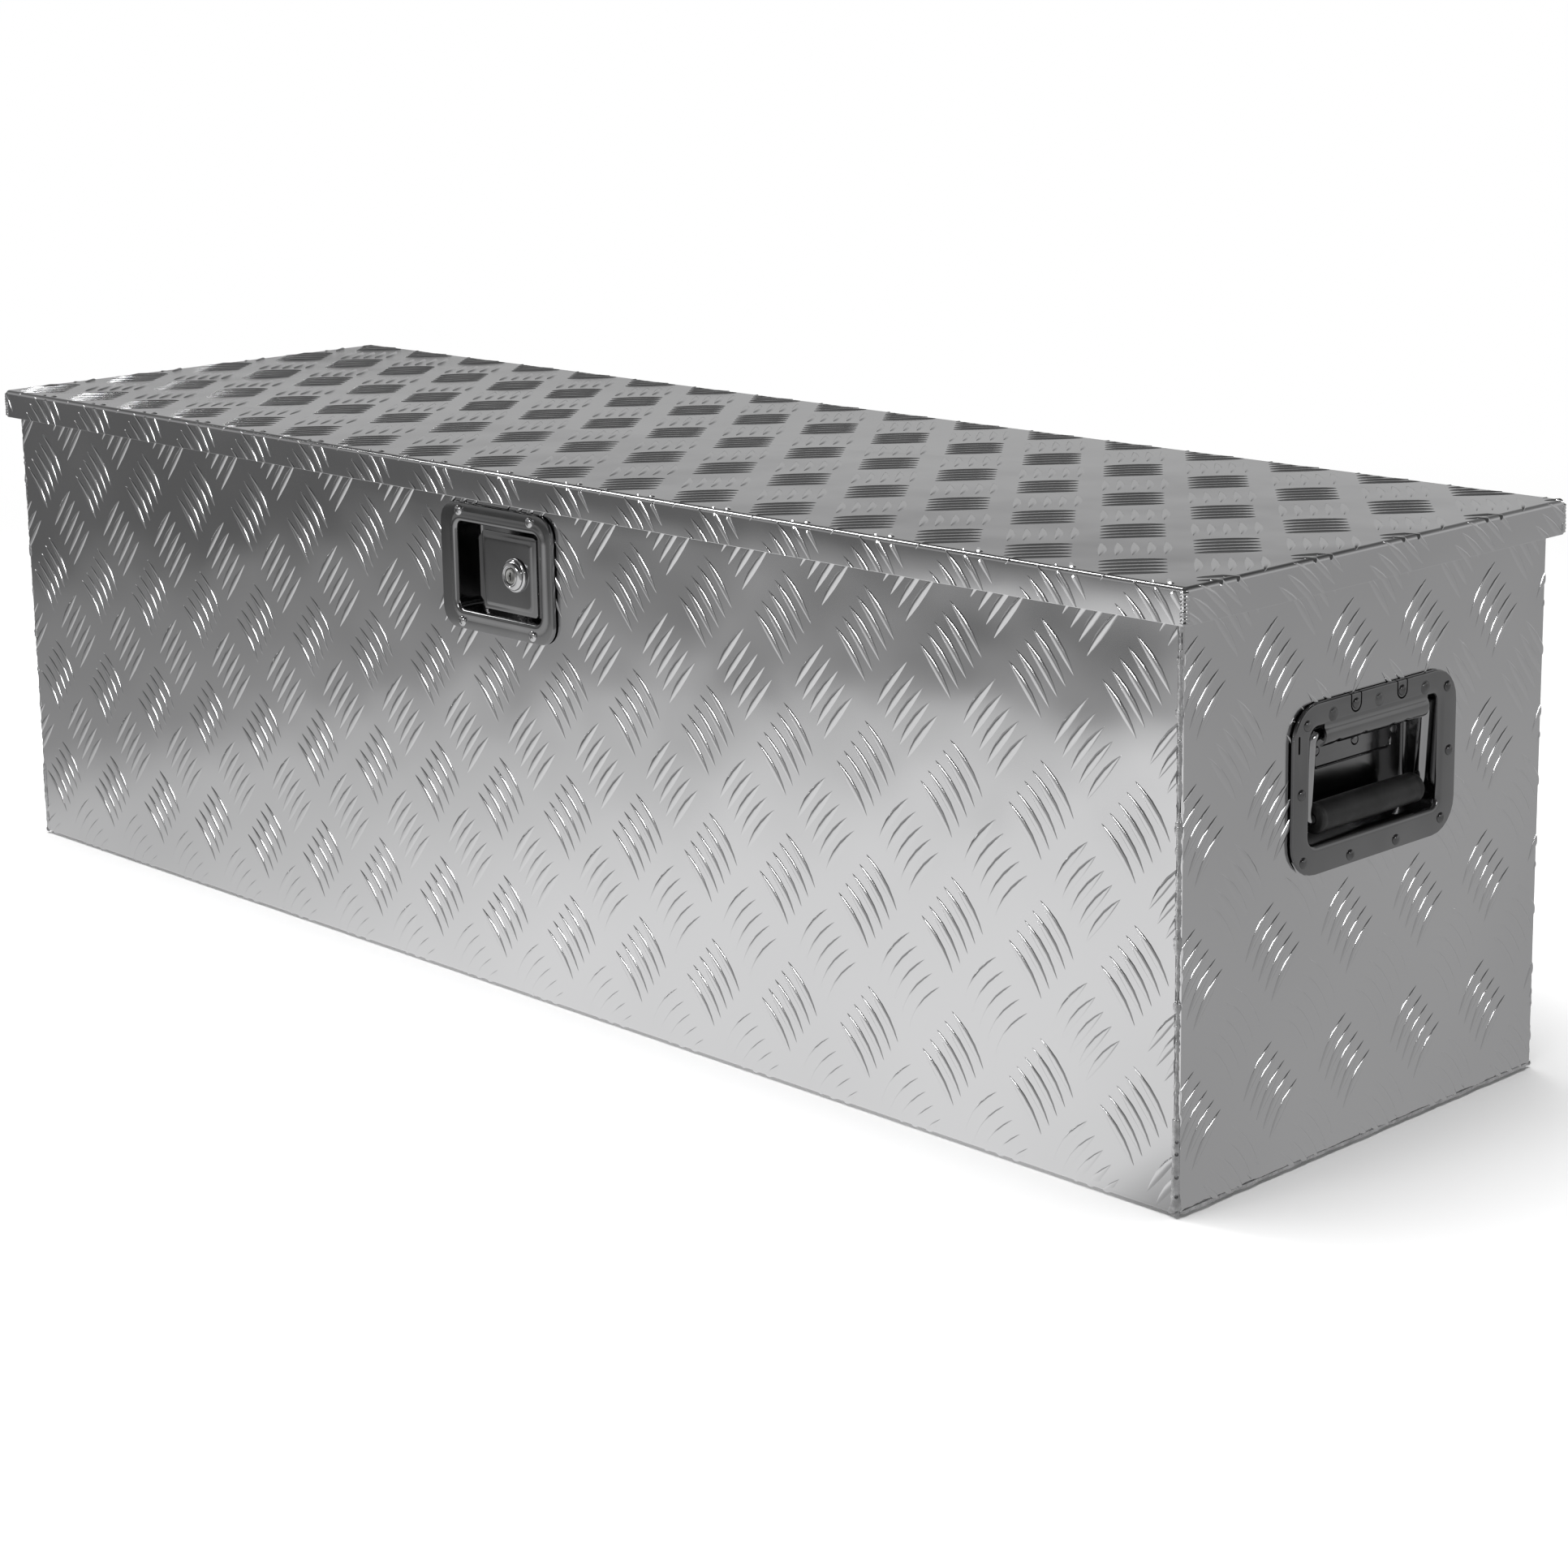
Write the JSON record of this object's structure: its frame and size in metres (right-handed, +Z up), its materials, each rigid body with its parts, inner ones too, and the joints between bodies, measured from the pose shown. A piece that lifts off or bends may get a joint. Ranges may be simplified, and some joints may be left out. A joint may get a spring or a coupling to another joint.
{
  "type": "truck tool box",
  "caption": "Long tread-plate chest with an overhanging hinged lid, a flush paddle latch with key lock on the front and a recessed carrying handle on each end.",
  "frame": {"origin": "on the ground under the middle of the box, below the centre of its overall box", "axes": "+Z up; +X along the length, to the right as seen from the front; the front with the latch faces -Y; the lid is hinged along the back, +Y"},
  "size_m": [1.245, 0.378, 0.377],
  "materials": {
    "tread_plate": "bright rolled five-bar tread plate",
    "mill_aluminium": "plain mill sheet",
    "stainless": "polished stainless pressings",
    "zinc": "zinc plated",
    "rubber": "smooth black rubber",
    "strut_black": "satin black enamel"
  },
  "bodies": {
    "box": {"box_wrap": "tread_plate", "end_panel_left": "tread_plate", "end_panel_right": "tread_plate", "rim_seal": "rubber", "hinge_leaf_box": "stainless", "hinge_pin": "stainless", "lock_plate": "stainless", "lock_gasket": "rubber", "lock_retainer": "zinc", "paddle_pin": "stainless", "paddle_spring": "zinc", "latch_case": "zinc", "latch_spring": "zinc", "lock_screw_1": "stainless", "lock_nut_1": "zinc", "lock_screw_2": "stainless", "lock_nut_2": "zinc", "lock_screw_3": "stainless", "lock_nut_3": "zinc", "lock_screw_4": "stainless", "lock_nut_4": "zinc", "handle_plate_left": "stainless", "handle_gasket_left": "rubber", "handle_bracket_left": "stainless", "handle_spring_left": "zinc", "strut_box_bracket_left": "zinc", "handle_plate_right": "stainless", "handle_gasket_right": "rubber", "handle_bracket_right": "stainless", "handle_spring_right": "zinc", "strut_box_bracket_right": "zinc"},
    "lid": {"lid_pan": "tread_plate", "lid_stiffener_left": "mill_aluminium", "lid_stiffener_right": "mill_aluminium", "hinge_leaf_lid": "stainless", "striker": "zinc", "strut_lid_bracket_left": "zinc", "strut_lid_bracket_right": "zinc"},
    "paddle": {"paddle": "stainless", "key_housing": "stainless"},
    "key": {"key_plug": "zinc", "key_cam": "zinc"},
    "latch_bolt": {"latch_bolt": "stainless"},
    "bail_left": {"handle_bail_left": "stainless", "handle_grip_left": "rubber"},
    "strut_tube_left": {"strut_tube_left": "strut_black"},
    "strut_rod_left": {"strut_rod_left": "stainless"},
    "bail_right": {"handle_bail_right": "stainless", "handle_grip_right": "rubber"},
    "strut_tube_right": {"strut_tube_right": "strut_black"},
    "strut_rod_right": {"strut_rod_right": "stainless"}
  },
  "joints": [
    {"name": "lid_hinge", "type": "hinge", "parent": "box", "child": "lid", "pos_m": [0, 0.1843, 0.3504], "axis": [-1, 0, 0], "range_deg": [0, 80]},
    {"name": "paddle_pivot", "type": "hinge", "parent": "box", "child": "paddle", "pos_m": [0.051, -0.1765, 0.305], "axis": [0, 0, 1], "range_deg": [0, 28], "stiffness_Nm_per_rad": 0.4, "springref_deg": -17.19, "deforming": ["paddle_spring"]},
    {"name": "key_turn", "type": "hinge", "parent": "paddle", "child": "key", "pos_m": [0.028, -0.185, 0.305], "axis": [0, -1, 0], "range_deg": [0, 90]},
    {"name": "bolt_slide", "type": "slide", "parent": "box", "child": "latch_bolt", "axis": [-1, 0, 0], "range_m": [0, 0.0152], "deforming": ["latch_spring"]},
    {"name": "bail_left_fold", "type": "hinge", "parent": "box", "child": "bail_left", "pos_m": [-0.611, 0, 0.266], "axis": [0, 1, 0], "range_deg": [0, 90], "stiffness_Nm_per_rad": 0.3, "springref_deg": -20.05},
    {"name": "strut_left_swing", "type": "hinge", "parent": "box", "child": "strut_tube_left", "pos_m": [-0.576, 0.0493, 0.1704], "axis": [-1, 0, 0], "range_deg": [0, 10.1]},
    {"name": "strut_left_extend", "type": "slide", "parent": "strut_tube_left", "child": "strut_rod_left", "axis": [0, 0.2808, 0.9598], "range_m": [0, 0.095]},
    {"name": "bail_right_fold", "type": "hinge", "parent": "box", "child": "bail_right", "pos_m": [0.611, 0, 0.266], "axis": [0, -1, 0], "range_deg": [0, 90], "stiffness_Nm_per_rad": 0.3, "springref_deg": -20.05},
    {"name": "strut_right_swing", "type": "hinge", "parent": "box", "child": "strut_tube_right", "pos_m": [0.576, 0.0493, 0.1704], "axis": [-1, 0, 0], "range_deg": [0, 10.1]},
    {"name": "strut_right_extend", "type": "slide", "parent": "strut_tube_right", "child": "strut_rod_right", "axis": [0, 0.2808, 0.9598], "range_m": [0, 0.095]}
  ],
  "couplings": [
    {"joint": "bolt_slide", "follows": "paddle_pivot", "m_per_rad": 0.030694},
    {"joint": "strut_left_swing", "follows": "lid_hinge", "ratio": 0.1258},
    {"joint": "strut_left_extend", "follows": "lid_hinge", "m_per_rad": 0.06769},
    {"joint": "strut_right_swing", "follows": "lid_hinge", "ratio": 0.1258},
    {"joint": "strut_right_extend", "follows": "lid_hinge", "m_per_rad": 0.06769}
  ]
}
